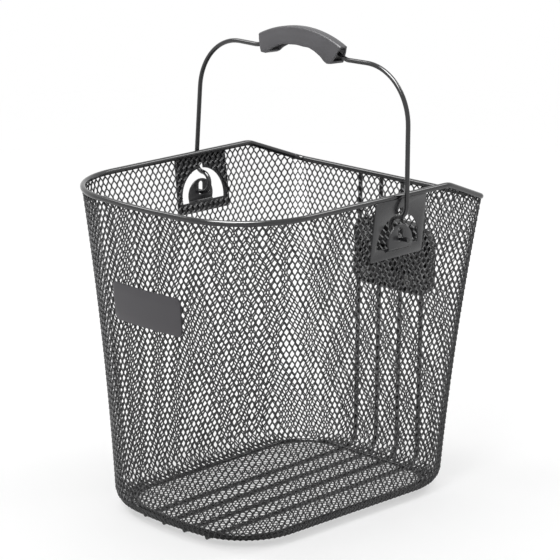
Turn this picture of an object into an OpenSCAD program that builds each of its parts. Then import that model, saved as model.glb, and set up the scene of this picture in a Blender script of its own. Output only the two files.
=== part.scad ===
// Handlebar basket: expanded-metal body, rod rim, swinging bail with grip, and a rear mounting block.
// X runs across, the bowed front faces -Y, the handlebar side faces +Y, and Z is up.

/* [Rim] */
// Height of the rim rod's centre at the front and sides
rim_z = 284; // [250:0.5:330]
// Diameter of the rim rod
rim_d = 5; // [4:0.25:7]
// Width between rod centres at the two humps
rim_w = 240; // [220:1:270]
// Width between rod centres at the front corners
rim_front_w = 235; // [215:1:265]
// Width between rod centres at the back corners
rim_back_w = 223; // [205:1:240]
// Distance from the bail axis back to the rear rod
rim_back_y = 116.5; // [105:0.5:130]
// Distance from the bail axis forward to the foremost rod centre
rim_front_y = 181.3; // [165:0.1:200]
// Distance from the bail axis back to the humps
hump_y = 60; // [50:1:75]
// Drop of the rear rod below the side rods
rim_drop = 21.5; // [10:0.5:30]
// Bend radius of the front corners
rim_corner_r = 74; // [55:1:85]
// Bend radius of the rear corners
rim_rear_r = 10; // [8:0.5:20]
// Bend radius over the humps
hump_r = 25; // [10:1:40]

/* [Body] */
// Width of the floor at the back
base_back_w = 171.5; // [155:0.5:190]
// Width of the floor at the front corners
base_front_w = 163.5; // [150:0.5:180]
// Distance from the bail axis back to the floor's rear edge
base_back_y = 97; // [90:0.5:99]
// Distance from the bail axis forward to the floor's front edge
base_front_y = 146.9; // [130:0.1:160]
// Corner radius of the floor at the front
base_corner_r = 49.5; // [35:0.5:55]
// Corner radius of the floor at the back
base_rear_r = 40.5; // [20:0.5:50]
// Radius at which the wall turns in to the floor
edge_r = 15.5; // [10:0.5:18]
// How far the wall bows inwards between its foot and the rim
wall_sag = 2.6; // [0:0.1:3]
// How far the side's rear end leans back from floor to hump
side_rake = 15; // [5:1:25]
// How far the bow of the front swings back at each corner, in degrees
bow = 6.5; // [3:0.5:10]
// Thickness of the expanded sheet across its strands
sheet_t = 1.6; // [1:0.1:2.4]
// Width of one strand of the sheet
strand_w = 3; // [2:0.1:4.5]
// Rows of half diamonds up the wall
mesh_rows = 15; // [9:2:17]
// Diameter of the wire in the bottom hem
ring_d = 4; // [3:0.25:5]

/* [Support wires] */
// Diameter of the support wires
wire_d = 4; // [3:0.25:5]
// Spacing of the support wires
wire_pitch = 25.5; // [20:0.5:30]
// Bend radius from floor to back
wire_bend_r = 16; // [8:1:18]
// Room between the wires and the foot of the back wall
wire_off = 1.5; // [0.8:0.1:4]
// How far the wire ends stick out in front
wire_tip = 3.5; // [1:0.5:8]

/* [Handle brackets] */
// Drop of the bail axis below the rim rod's centre
pivot_drop = 35.5; // [32:0.5:45]
// Thickness of the bracket plate
bracket_t = 1.5; // [1:0.1:2]
// Width of the bracket at its lower edge
bracket_w = 63; // [58:1:72]
// Width of the bracket under the rim
bracket_top_w = 61; // [56:1:68]
// Depth of the bracket below the bail axis
bracket_low = 17; // [14:0.5:24]
// Radius of the arch window
arch_r = 25; // [24:0.5:26.5]
// Height of the window's top above the bail axis
arch_top = 21.5; // [20.8:0.1:22.5]
// Depth of the window's foot below the bail axis
arch_foot = 7.4; // [5:0.1:9]
// Radius of the tongue's round top
tongue_r = 14.6; // [12:0.1:14.8]
// Height of the tongue's top above the bail axis
tongue_top = 12; // [9.5:0.1:12.2]
// How far the tongue is pressed out of the plate
tongue_out = 3; // [2:0.1:3.5]

/* [Bail] */
// Diameter of the bail wire
bail_d = 4; // [3:0.25:4]
// Backward lean of the bail at rest, in degrees
bail_lean = 2.5; // [0:0.5:10]
// Height of the bail's shoulders above its axis
bail_h = 141; // [120:1:160]
// Height of the bail's arched middle above its shoulders
bail_rise = 14.5; // [12:0.5:16]
// Room between the bail's legs and the widest part of the rim
bail_gap = 2.3; // [2:0.1:6]
// Inward lean of each leg over its height
bail_taper = 4.4; // [0:0.1:4.6]
// Bend radius of the shoulders
shoulder_r = 48; // [25:1:52]
// Half width of the arched middle
arch_half = 56; // [53:0.5:60]
// Slope at which the arched middle ends, in degrees
arch_slope = 26; // [24:0.5:28]
// Distance of the hook's upper leg from the axis
hook_r = 18; // [17.6:0.1:18.4]
// Reach of the hook inside the plate
hook_in = 8; // [7.5:0.1:9]
// Length of the pin outside the tongue
pin_out = 4; // [2:0.5:6]

/* [Grip] */
// Width of the grip
grip_w = 16; // [14:0.5:24]
// Wall thickness of the grip
grip_t = 2; // [1.6:0.1:2.5]
// Height of the grip above the wire's centre
grip_up = 6.5; // [5:0.1:9]
// Depth of the grip below the wire's centre
grip_down = 9; // [7:0.1:11]
// Half angle that the grip covers along the arch
grip_angle = 26; // [22:0.5:28]
// Number of finger hollows
grip_waves = 4; // [2:1:5]
// Depth of the finger hollows
wave_depth = 2.4; // [1:0.1:3.5]

/* [Label plate] */
// Width of the label plate
label_w = 79; // [50:1:90]
// Height of the label plate
label_h = 33; // [20:1:45]
// Thickness of the label plate
label_t = 1.6; // [1:0.1:3]
// Height of the plate's middle
label_z = 198.5; // [150:0.5:230]

/* [Rear adapter] */
// Height of the adapter's middle
adapter_z = 188.5; // [170:0.5:200]
// Width of the adapter
adapter_w = 92; // [84:1:100]
// Height of the adapter
adapter_h = 61; // [56:1:75]
// Thickness of the adapter's base plate
adapter_t = 7; // [5:0.5:10]
// Corner radius of the adapter
adapter_r = 16; // [6:0.5:20]
// Width of the slide channel
slot_w = 40; // [30:1:44]
// Depth of the slide channel
slot_t = 6; // [4.5:0.5:9]
// Overhang of the channel's lips
lip = 6; // [3:0.5:9]
// Thickness of the channel's lips and walls
lip_t = 4; // [3:0.5:6]
// Height of a clamp strip
strip_h = 12; // [10:0.5:14]
// Thickness of a clamp strip
strip_t = 1.6; // [1.2:0.1:1.8]
// Distance between the clamp strips
strip_gap = 34; // [26:1:40]
// Diameter of the clamp screws
screw_d = 5; // [3:0.5:6]
// Depth that a screw goes into the adapter
screw_in = 5; // [3:0.5:5]

/* [Hidden] */
$fn = 64;
nudge = 0.01;
bend_step = 14;
rod_sides = 10;
wire_sides = 8;
pin_seam = 0.5;
seat = 0.1;
fit = 0.2;
rim_r = rim_d / 2;
wire_r = wire_d / 2;
bail_r = bail_d / 2;
rim_back_z = rim_z - rim_drop;
pivot_z = rim_z - pivot_drop;
bail_half = rim_w / 2 + rim_r + bail_gap + bail_r;

// The sheet hangs under the rim rod and stands on the wires
mesh_low = wire_d + seat + sheet_t / 2;
edge_z = mesh_low + edge_r;
mesh_drop = rim_r + 5 * seat;

// Half columns of diamonds along each stretch of half the wall, from the middle of the back to the front
stretch = [6, 3, 4, 12, 8, 3];
ends = [0, 6, 9, 13, 25, 33, 36];
half_round = ends[6];
panels = [[-5, 6], [6, 13], [13, 25], [25, 29], [29, 33], [33, 40]];
panel_slit = 0.15;

// Plan outlines as corner points with bend radii, for half the basket
function corner_cut(r, flare) = r * tan((90 - bow + flare) / 2);
function bow_r(half_w, r, flare) = (half_w / cos(bow) - corner_cut(r, flare)) / tan(bow);
function bow_tip(half_w, r, y, flare) = -y - bow_r(half_w, r, flare) * (1 / cos(bow) - 1);
function corner_y(half_w, r, y, flare) = bow_tip(half_w, r, y, flare) + half_w * tan(bow);
function side_flare(mid_w, mid_y, front_w, front_r, front_y) =
    atan((front_w - mid_w) / 2 / (mid_y - corner_y(front_w / 2, front_r, front_y, 0)));
function plan(back_w, back_y, rear_r, mid_w, mid_y, front_w, front_r, front_y) =
    let(half_w = front_w / 2, flare = side_flare(mid_w, mid_y, front_w, front_r, front_y)) [
        [0, back_y, 0],
        [back_w / 2, back_y, rear_r],
        [mid_w / 2, mid_y, 0],
        [half_w, corner_y(half_w, front_r, front_y, flare), front_r],
        [0, bow_tip(half_w, front_r, front_y, flare), bow_r(half_w, front_r, flare)]
    ];
function rim_plan(in) = plan(
    rim_back_w - 2 * in, rim_back_y - in, rim_rear_r - in, rim_w - 2 * in, hump_y,
    rim_front_w - 2 * in, rim_corner_r - in, rim_front_y - in
);
base_mid_y = hump_y - side_rake;
base_mid_w = base_back_w + (base_front_w - base_back_w) / 4;
function base_plan(in) = plan(
    base_back_w - 2 * in, base_back_y - in, base_rear_r - in, base_mid_w - 2 * in, base_mid_y,
    base_front_w - 2 * in, base_corner_r - in, base_front_y - in
);

// Points on a bent line: a straight run, or the arc at one of its corners
function unit(v) = v / norm(v);
function flat(p) = [p[0], p[1]];
function turn(a, b) = acos(max(-1, min(1, a * b)));
function tangent(r, a, b) = r * tan(turn(a, b) / 2);
function side_of(a, b) = unit(b - a * (a * b));
function arc_point(v, r, a, b, t) =
    v - a * tangent(r, a, b) + side_of(a, b) * r
    + r * (a * sin(t * turn(a, b)) - side_of(a, b) * cos(t * turn(a, b)));
function mix(a, b, t) = a + (b - a) * t;
function heading(p, k) = unit(flat(p[k + 1]) - flat(p[k]));
function corner_at(p, k, t) = arc_point(flat(p[k]), p[k][2], heading(p, k - 1), heading(p, k), t);
tip_heading = [-cos(bow), sin(bow)];
function tip_at(p, t) = arc_point(flat(p[4]), p[4][2], heading(p, 3), tip_heading, t / 2);
function run_at(p, k, t) =
    k == 0 ? mix(flat(p[0]), corner_at(p, 1, 0), t) :
    k == 1 ? corner_at(p, 1, t) :
    k == 2 ? mix(corner_at(p, 1, 1), flat(p[2]), t) :
    k == 3 ? mix(flat(p[2]), corner_at(p, 3, 0), t) :
    k == 4 ? corner_at(p, 3, t) : tip_at(p, t);
function stretch_of(u) = u < ends[1] ? 0 : u < ends[2] ? 1 : u < ends[3] ? 2 : u < ends[4] ? 3 : u < ends[5] ? 4 : 5;
function half_at(p, u) = run_at(p, stretch_of(u), (u - ends[stretch_of(u)]) / stretch[stretch_of(u)]);
function wrapped(u) = u > half_round ? u - 2 * half_round : u;
function mirrored(q, s) = [s * q[0], q[1]];
function plan_at(p, u) = mirrored(half_at(p, abs(wrapped(u))), wrapped(u) < 0 ? -1 : 1);
function plan_points(p) = [for (u = [-half_round + 1:half_round]) plan_at(p, u)];

// The rim rises behind the rear corners
rear_side = unit([(rim_w - rim_back_w) / 2, hump_y - rim_back_y, rim_drop]);
rear_turn = acos(rear_side[0]);
rear_rise = rim_rear_r * tan(rear_turn / 2) * rear_side[2];
function rear_share(u) = (1 - cos(rear_turn * (u - ends[1]) / stretch[1])) / (1 - cos(rear_turn));
function rim_height(u) =
    u <= ends[1] ? rim_back_z :
    u <= ends[2] ? rim_back_z + rear_rise * rear_share(u) :
    u >= ends[3] ? rim_z : mix(rim_back_z + rear_rise, rim_z, (u - ends[2]) / stretch[2]);

// The wall turns up round the floor's edge, then bows in a little on its way to the rim rod
top_plan = rim_plan(0);
low_plan = base_plan(0);
wide_plan = base_plan(-edge_r);
edge_turn = edge_r * PI / 2;
wall_h = rim_z - mesh_drop - edge_z;
edge_share = edge_turn / (edge_turn + wall_h);
function lift(q, z) = [q[0], q[1], z];
function wall_top(u) = lift(plan_at(top_plan, u), rim_height(abs(wrapped(u))) - mesh_drop);
function wall_edge(u) = lift(plan_at(wide_plan, u), edge_z);
function wall_turn(u, a) =
    lift(mix(plan_at(low_plan, u), plan_at(wide_plan, u), sin(a)), edge_z - edge_r * cos(a));
function wall_inwards(u) = unit(lift(plan_at(low_plan, u) - plan_at(wide_plan, u), 0));
function wall_rise(u, t) =
    mix(wall_edge(u), wall_top(u), t) + wall_inwards(u) * wall_sag * 4 * t * (1 - t);
function wall_at(u, v) =
    v < edge_share ? wall_turn(u, 90 * v / edge_share) :
    wall_rise(u, (v - edge_share) / (1 - edge_share));
function wall_along(u, v) = wall_at(u + nudge, v) - wall_at(u - nudge, v);
function wall_down(u, v) = wall_at(u, max(0, v - nudge)) - wall_at(u, min(1, v + nudge));
function wall_out(u, v) = unit(cross(wall_along(u, v), wall_down(u, v)));

// Side wall where the bracket sits
side_u = ends[3] + stretch[3] * hump_y / (hump_y - corner_at(top_plan, 3, 0)[1]);
side_top_x = wall_top(side_u)[0];
wall_slope = atan((side_top_x - wall_edge(side_u)[0] + 4 * wall_sag) / wall_h);
bracket_top_z = rim_z - rim_r - seat;
plate_off = sheet_t / 2 + fit + bracket_t / 2;
bracket_top_x = side_top_x + plate_off - (rim_z - mesh_drop - bracket_top_z) * tan(wall_slope);
function bracket_x(z) = bracket_top_x - (bracket_top_z - z) * tan(wall_slope);
tongue_x = bracket_x(pivot_z) + tongue_out;
window_y = bracket_w / 2 + strand_w;
window_z = pivot_z - bracket_low - strand_w;

// Bail path in its own upright plane, from the axis up
hook_x = bracket_x(pivot_z) - hook_in;
pin_x = tongue_x + bracket_t / 2 + pin_out;
bend_r = hook_r / 2 - nudge;
pin_start = hook_x + bend_r + pin_seam;
valley_z = bail_h - 1;
valley_r = 15;
arch_mid = bail_h + bail_rise;
arch_tip = valley_z + arch_half * tan(arch_slope);
arch_bend_r = (arch_tip - arch_mid) / (1 / cos(arch_slope) - 1);
bail_side = [
    [pin_start, 0, 0],
    [hook_x, 0, bend_r],
    [hook_x, hook_r, bend_r],
    [bail_half, hook_r, bend_r],
    [bail_half - bail_taper, bail_h, shoulder_r],
    [arch_half, valley_z, valley_r]
];

// Rear wires lean from the floor's edge to the back of the rim
wire_low_y = base_back_y + edge_r + sheet_t / 2 + wire_off + wire_r;
wire_top_y = rim_back_y + rim_r + wire_r + seat;
wire_top_z = rim_back_z;
wire_lean = atan((wire_top_y - wire_low_y) / (wire_top_z - wire_r));
function wire_y(z) = wire_low_y + (z - wire_r) * tan(wire_lean);
wire_count = 4;
function wire_x(k) = (k - (wire_count - 1) / 2) * wire_pitch;
adapter_y = wire_y(adapter_z);
adapter_deep = wire_r + seat + adapter_t + slot_t + lip_t;

// The frame's origin lies under the middle of the whole object
back_reach = adapter_y + adapter_deep * cos(wire_lean) + adapter_h / 2 * sin(wire_lean);
centre_y = (rim_front_y + rim_r - back_reach) / 2;

// A round rod swept along corner points, each with its bend radius
function dir_at(p, k) = unit(p[(k + 1) % len(p)] - p[k]);
function before(p, k) = (k + len(p) - 1) % len(p);
function steps(a) = max(2, ceil(a / bend_step));
function bend_points(p, r, k) =
    let(a = dir_at(p, before(p, k)), b = dir_at(p, k), n = steps(turn(a, b)))
    [for (m = [0:n]) arc_point(p[k], r[k], a, b, m / n)];
function path_of(p, r, closed) = [
    for (k = [0:len(p) - 1])
        each !closed && (k == 0 || k == len(p) - 1) ? [p[k]] : bend_points(p, r, k)
];
function thinned(p) = [for (k = [0:len(p) - 1]) if (k == 0 || norm(p[k] - p[k - 1]) > nudge) p[k]];
function tangent_at(p, k, closed) =
    closed ? unit(dir_at(p, before(p, k)) + dir_at(p, k)) :
    k == 0 ? dir_at(p, 0) :
    k == len(p) - 1 ? dir_at(p, k - 1) : unit(dir_at(p, k - 1) + dir_at(p, k));
module rod(corners, radii, d, sides, up, closed = false) {
    p = thinned(path_of(corners, radii, closed));
    n = len(p);
    points = [
        for (k = [0:n - 1])
            let(t = tangent_at(p, k, closed), a = unit(cross(t, up)), b = cross(a, t))
            for (m = [0:sides - 1])
                p[k] + d / 2 * (a * cos(360 * m / sides) + b * sin(360 * m / sides))
    ];
    function knot(k, m) = (k % n) * sides + m % sides;
    skin = [
        for (k = [0:closed ? n - 1 : n - 2]) for (m = [0:sides - 1])
            each [
                [knot(k, m), knot(k, m + 1), knot(k + 1, m + 1)],
                [knot(k, m), knot(k + 1, m + 1), knot(k + 1, m)]
            ]
    ];
    caps = closed ? [] : [
        [for (m = [sides - 1:-1:0]) knot(0, m)],
        [for (m = [0:sides - 1]) knot(n - 1, m)]
    ];
    polyhedron(points = points, faces = concat(skin, caps), convexity = 10);
}

// A closed ring of corner points from half a plan, at the given heights
function ring_points(p, z) = concat(
    [for (k = [1:4]) [p[k][0], p[k][1], z[k]]],
    [for (k = [3:-1:1]) [-p[k][0], p[k][1], z[k]]]
);
function ring_radii(r) = concat([for (k = [1:4]) r[k]], [for (k = [3:-1:1]) r[k]]);

module rim() {
    p = rim_plan(0);
    color("#2e2e30")
        rod(
            ring_points(p, [0, rim_back_z, rim_z, rim_z, rim_z]),
            ring_radii([0, rim_rear_r, hump_r, p[3][2], p[4][2]]),
            rim_d, rod_sides, [0, 0, 1], closed = true
        );
}

// One panel of diamonds: its strands have a lozenge section that thins towards each opening
function in_window(q) = abs(q[1]) < window_y && q[2] > window_z && abs(q[0]) > tongue_x / 2;
function is_cell(i, j, i0, i1) =
    i >= i0 && i < i1 && j > 0 && j < mesh_rows
    && !in_window(wall_at(i, j / mesh_rows));
module mesh_panel(part) {
    i0 = panels[part][0];
    i1 = panels[part][1];
    mid = (i0 + i1 - 1) / 2;
    across = norm(wall_at(i1, 1) - wall_at(i0, 1));
    function u_of(i) = mid + (i - mid) * (1 - panel_slit / across);
    function v_of(j) = j / mesh_rows;
    function at(c) = wall_at(u_of(c[0]), v_of(c[1]));
    function skin(c, s) = at(c) + wall_out(u_of(c[0]), v_of(c[1])) * s * sheet_t / 2;
    function spread(i, j) = norm(at([i + 1, j]) - at([i - 1, j]));
    function stand(i, j) = norm(at([i, j + 1]) - at([i, j - 1]));
    function gap(i, j) = spread(i, j) * stand(i, j) / 2 / norm([spread(i, j), stand(i, j)]);
    function open_share(i, j) = 1 - strand_w / 2 / gap(i, j);
    function corners(i, j) = [[i, j + 1], [i - 1, j], [i, j - 1], [i + 1, j]];
    function across_edge(i, j) = [[i - 1, j + 1], [i - 1, j - 1], [i + 1, j - 1], [i + 1, j + 1]];
    cells = [
        for (i = [i0:i1 - 1]) for (j = [1:mesh_rows - 1])
            if ((i + j + 100) % 2 == 1 && is_cell(i, j, i0, i1)) [i, j]
    ];
    rows = mesh_rows + 1;
    knots = [for (i = [i0 - 1:i1]) for (j = [0:mesh_rows]) [i, j]];
    hole0 = 2 * len(knots);
    function knot(c) = 2 * ((c[0] - i0 + 1) * rows + c[1]);
    points = concat(
        [for (c = knots) for (s = [1, -1]) skin(c, s)],
        [for (c = cells) for (k = corners(c[0], c[1])) mix(at(c), at(k), open_share(c[0], c[1]))]
    );
    function quad(a, b, c, d) = [[a, b, c], [a, c, d]];
    faces = [
        for (n = [0:len(cells) - 1]) for (k = [0:3])
            let(
                c = cells[n],
                e = corners(c[0], c[1]),
                o1 = knot(e[k]),
                o2 = knot(e[(k + 1) % 4]),
                h1 = hole0 + 4 * n + k,
                h2 = hole0 + 4 * n + (k + 1) % 4,
                next = across_edge(c[0], c[1])[k],
                edge = is_cell(next[0], next[1], i0, i1) ? [] : quad(o1, o1 + 1, o2 + 1, o2)
            )
            each concat(quad(o1, o2, h2, h1), quad(o1 + 1, h1, h2, o2 + 1), edge)
    ];
    color("#3a3a3c")
        polyhedron(points = points, faces = faces, convexity = 10);
}

// Floor sheet inside the hem wire, with the same diamonds laid flat
floor_z = wire_d + seat;
floor_in = ring_d + 2 * fit;
floor_edge = 5;
cell_w = 24;
cell_l = 34;
module diamond(w, l) {
    polygon([[w / 2, 0], [0, l / 2], [-w / 2, 0], [0, -l / 2]]);
}
module floor_mesh() {
    low = plan_points(base_plan(floor_in));
    core = plan_points(base_plan(floor_in + floor_edge));
    shrink = 1 - strand_w * norm([cell_w, cell_l]) / (cell_w * cell_l);
    nx = ceil(base_front_w / cell_w / 2);
    ny = ceil((base_back_y + base_front_y) / cell_l / 2);
    color("#3a3a3c")
        translate([0, 0, floor_z])
            linear_extrude(sheet_t)
                difference() {
                    polygon(low);
                    intersection() {
                        polygon(core);
                        for (i = [-2 * nx:2 * nx]) for (j = [-2 * ny:2 * ny])
                            if ((i + j + 100) % 2 == 0)
                                translate([i * cell_w / 2, j * cell_l / 2 + (base_back_y - base_front_y) / 2])
                                    diamond(cell_w * shrink, cell_l * shrink);
                    }
                }
}
module base_ring() {
    p = base_plan(ring_d / 2 + fit);
    z = floor_z + ring_d / 2;
    color("#2e2e30")
        rod(
            ring_points(p, [z, z, z, z, z]),
            ring_radii([0, p[1][2], hump_r, p[3][2], p[4][2]]),
            ring_d, wire_sides, [0, 0, 1], closed = true
        );
}

// A support wire runs under the floor and up the back to the rim
module support_wire(k) {
    x = wire_x(k);
    front = -base_front_y + low_plan[4][2] - sqrt(pow(low_plan[4][2], 2) - x * x);
    color("#2e2e30")
        rod(
            [
                [x, front - sheet_t / 2 - wire_tip, wire_r],
                [x, wire_low_y, wire_r],
                [x, wire_top_y, wire_top_z]
            ],
            [0, wire_bend_r, 0],
            wire_d, wire_sides, [1, 0, 0]
        );
}

// Bracket plate with its arch window and the tongue pressed outwards
module along_x(x, t) {
    translate([x - t / 2, 0, 0])
        rotate([90, 0, 90])
            linear_extrude(t)
                children();
}
module arch_window() {
    intersection() {
        translate([0, arch_top - arch_r])
            circle(arch_r);
        translate([-arch_r, -arch_foot])
            square([2 * arch_r, arch_foot + arch_r]);
    }
    translate([0, arch_top - notch_r / 2])
        circle(notch_r);
}
notch_r = 3;
module bracket_right() {
    top = bracket_top_z - pivot_z;
    long = (top + bracket_low) / cos(wall_slope);
    plate_reach = 3 * tongue_out + long * sin(wall_slope) + bracket_t;
    joggle_low = -arch_foot - tongue_out * 1.2;
    foot_drop = arch_foot + tongue_top - tongue_r;
    joggle_w = 2 * (sqrt(tongue_r * tongue_r - foot_drop * foot_drop) - fit);
    color("#48484a")
        translate([0, 0, pivot_z]) {
            difference() {
                translate([bracket_x(pivot_z - bracket_low), 0, -bracket_low])
                    rotate([0, wall_slope, 0])
                        along_x(0, bracket_t)
                            polygon([
                                [-bracket_w / 2, 0],
                                [bracket_w / 2, 0],
                                [bracket_top_w / 2, long],
                                [-bracket_top_w / 2, long]
                            ]);
                along_x(bracket_x(pivot_z), plate_reach)
                    arch_window();
            }
            difference() {
                along_x(tongue_x, bracket_t)
                    intersection() {
                        translate([0, tongue_top - tongue_r])
                            circle(tongue_r);
                        translate([-tongue_r, -arch_foot])
                            square([2 * tongue_r, arch_foot + tongue_r]);
                    }
                along_x(tongue_x, 3 * bracket_t)
                    circle(bail_r + seat / 2);
            }
            rotate([90, 0, 0])
                linear_extrude(joggle_w, center = true)
                    polygon([
                        [bracket_x(pivot_z + joggle_low) - bracket_t / 4, joggle_low],
                        [bracket_x(pivot_z + joggle_low) + bracket_t / 4, joggle_low],
                        [tongue_x + bracket_t / 2, -arch_foot],
                        [tongue_x - bracket_t / 2, -arch_foot]
                    ]);
        }
}
module bracket_left() {
    mirror([1, 0, 0])
        bracket_right();
}

// Bail: one wire from hook to hook
module bail_frame() {
    translate([0, 0, pivot_z])
        rotate([-bail_lean, 0, 0])
            children();
}
module bail() {
    side = [for (q = bail_side) [q[0], 0, q[1]]];
    other = [for (k = [len(side) - 1:-1:0]) [-side[k][0], 0, side[k][2]]];
    radii = [for (q = bail_side) q[2]];
    color("#262628")
        bail_frame() {
            rod(
                concat(side, [[0, 0, arch_tip]], other),
                concat(radii, [arch_bend_r], [for (k = [len(radii) - 1:-1:0]) radii[k]]),
                bail_d - 2 * seat, rod_sides, [0, 1, 0]
            );
            for (s = [-1, 1])
                translate([s * (pin_x + pin_start - pin_seam / 2) / 2, 0, 0])
                    rotate([0, 90, 0])
                        cylinder(d = bail_d, h = pin_x - pin_start + pin_seam / 2, center = true);
        }
}

// Grip: an arched channel that hangs over the wire on three saddles
module around_arch() {
    translate([0, 0, arch_mid - arch_bend_r])
        rotate([90, 0, 0])
            children();
}
module arch_sweep(from, to) {
    rotate(90 + from)
        rotate_extrude(angle = to - from)
            children();
}
module grip() {
    r0 = arch_bend_r - grip_down;
    r1 = arch_bend_r + grip_up;
    step = 2 * grip_angle / grip_waves;
    wave_r = arch_bend_r * sin(step / 2);
    color("#58585a")
        bail_frame()
            around_arch()
                difference() {
                    union() {
                        arch_sweep(-grip_angle, grip_angle)
                            difference() {
                                grip_section(r0, r1, grip_w);
                                grip_section(r0 - grip_t, r1 - grip_t, grip_w - 2 * grip_t);
                            }
                        for (a = [-0.75, 0, 0.75])
                            arch_sweep(a * grip_angle - 1, a * grip_angle + 1)
                                difference() {
                                    translate([arch_bend_r - bail_r, -grip_w / 2 + grip_t / 2])
                                        square([grip_up + bail_r - grip_t / 2, grip_w - grip_t]);
                                    translate([arch_bend_r, 0])
                                        circle(bail_r + seat);
                                    translate([arch_bend_r - bail_d, -bail_r - seat])
                                        square([bail_d, bail_d + 2 * seat]);
                                }
                    }
                    for (k = [0:grip_waves - 1])
                        rotate(90 - grip_angle + (k + 0.5) * step)
                            translate([r0 + wave_depth - wave_r, 0, 0])
                                cylinder(r = wave_r, h = 2 * grip_w, center = true);
                }
}
module grip_section(r0, r1, w) {
    round_r = w / 4;
    translate([r0, -w / 2])
        square([r1 - r0 - round_r, w]);
    translate([r0, -w / 2 + round_r])
        square([r1 - r0, w - 2 * round_r]);
    for (s = [-1, 1])
        translate([r1 - round_r, s * (w / 2 - round_r)])
            circle(round_r);
}

// Label plate bowed to the front wall
module label_plate() {
    share = (label_z - edge_z) / wall_h;
    front = wall_rise(half_round, share);
    reach = wall_edge(half_round)[1] - wall_top(half_round)[1];
    lean = atan((reach - 4 * wall_sag * (1 - 2 * share)) / wall_h);
    r = mix(wide_plan[4][2], top_plan[4][2], share);
    half = asin(label_w / 2 / r);
    off = sheet_t / 2 + fit + label_h / 2 * sin(lean) * sin(lean);
    color("#555357")
        translate([0, front[1], label_z])
            rotate([lean, 0, 0])
                translate([0, r, -label_h / 2])
                    rotate(-90 - half)
                        rotate_extrude(angle = 2 * half)
                            translate([r + off, 0])
                                square([label_t, label_h]);
}

// Adapter clamped to the support wires, with a slide channel that is open below
module on_wires() {
    translate([0, adapter_y, adapter_z])
        rotate([-wire_lean, 0, 0])
            children();
}
module adapter_outline(w, h, r) {
    for (s = [-1, 1]) for (t = [-1, 1])
        translate([s * (w / 2 - r), t * (h / 2 - r)])
            circle(r);
    square([w - 2 * r, h], center = true);
    square([w, h - 2 * r], center = true);
}
module facing_back(y, t) {
    translate([0, y + t, 0])
        rotate([90, 0, 0])
            linear_extrude(t)
                children();
}
screw_x = wire_pitch;
module screw_places() {
    for (s = [-1, 1])
        translate([s * screw_x, 0, 0])
            children();
}
module adapter() {
    y0 = wire_r + seat;
    wall_w = slot_w + 2 * lip_t;
    channel_h = adapter_h - 2 * lip_t;
    color("#333335")
        on_wires()
            difference() {
                union() {
                    facing_back(y0, adapter_t)
                        adapter_outline(adapter_w, adapter_h, adapter_r);
                    facing_back(y0 + adapter_t, slot_t + lip_t)
                        adapter_outline(wall_w, adapter_h, lip_t);
                }
                facing_back(y0 + adapter_t, slot_t)
                    translate([-slot_w / 2, -adapter_h])
                        square([slot_w, adapter_h + channel_h / 2]);
                facing_back(y0 + adapter_t, slot_t + 2 * lip_t)
                    translate([-slot_w / 2 + lip, -adapter_h])
                        square([slot_w - 2 * lip, adapter_h + channel_h / 2]);
                for (t = [-1, 1])
                    screw_places()
                        translate([0, y0 + screw_in + fit, t * strip_gap / 2])
                            rotate([90, 0, 0])
                                cylinder(d = screw_d + seat, h = screw_in + 2 * fit);
            }
}
module clamp_strip(t) {
    color("#48484a")
        on_wires()
            facing_back(-wire_r - seat - strip_t, strip_t)
                difference() {
                    translate([0, t * strip_gap / 2])
                        adapter_outline(adapter_w - 2 * lip_t, strip_h, strip_h / 4);
                    for (s = [-1, 1])
                        translate([s * screw_x, t * strip_gap / 2])
                            circle(d = screw_d + seat);
                }
}
module clamp_strip_upper() {
    clamp_strip(1);
}
module clamp_strip_lower() {
    clamp_strip(-1);
}
head_t = 1.2;
module adapter_screws() {
    shank = strip_t + 2 * (wire_r + seat) + screw_in;
    color("#8a8a8c")
        on_wires()
            for (t = [-1, 1])
                screw_places()
                    translate([0, -wire_r - seat - strip_t, t * strip_gap / 2])
                        rotate([-90, 0, 0]) {
                            cylinder(d = screw_d, h = shank);
                            translate([0, 0, -head_t])
                                cylinder(d = 2 * screw_d, h = head_t);
                        }
}

// Moves a piece so that the origin lies under the middle of the object
module placed() {
    translate([0, centre_y, 0])
        children();
}

placed() rim();
placed() mesh_panel(0);  // mesh_back
placed() mesh_panel(1);  // mesh_back_right
placed() mirror([1, 0, 0]) mesh_panel(1);  // mesh_back_left
placed() mesh_panel(2);  // mesh_right
placed() mirror([1, 0, 0]) mesh_panel(2);  // mesh_left
placed() mesh_panel(3);  // mesh_corner_right_side
placed() mirror([1, 0, 0]) mesh_panel(3);  // mesh_corner_left_side
placed() mesh_panel(4);  // mesh_corner_right_front
placed() mirror([1, 0, 0]) mesh_panel(4);  // mesh_corner_left_front
placed() mesh_panel(5);  // mesh_front
placed() floor_mesh();
placed() base_ring();
placed() support_wire(0);  // support_wire_1
placed() support_wire(1);  // support_wire_2
placed() support_wire(2);  // support_wire_3
placed() support_wire(3);  // support_wire_4
placed() bracket_left();
placed() bracket_right();
placed() bail();
placed() grip();
placed() label_plate();
placed() adapter();
placed() clamp_strip_upper();
placed() clamp_strip_lower();
placed() adapter_screws();
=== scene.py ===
import bpy
import bmesh
import math
from bisect import bisect_right
from mathutils import Matrix, Vector


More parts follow.
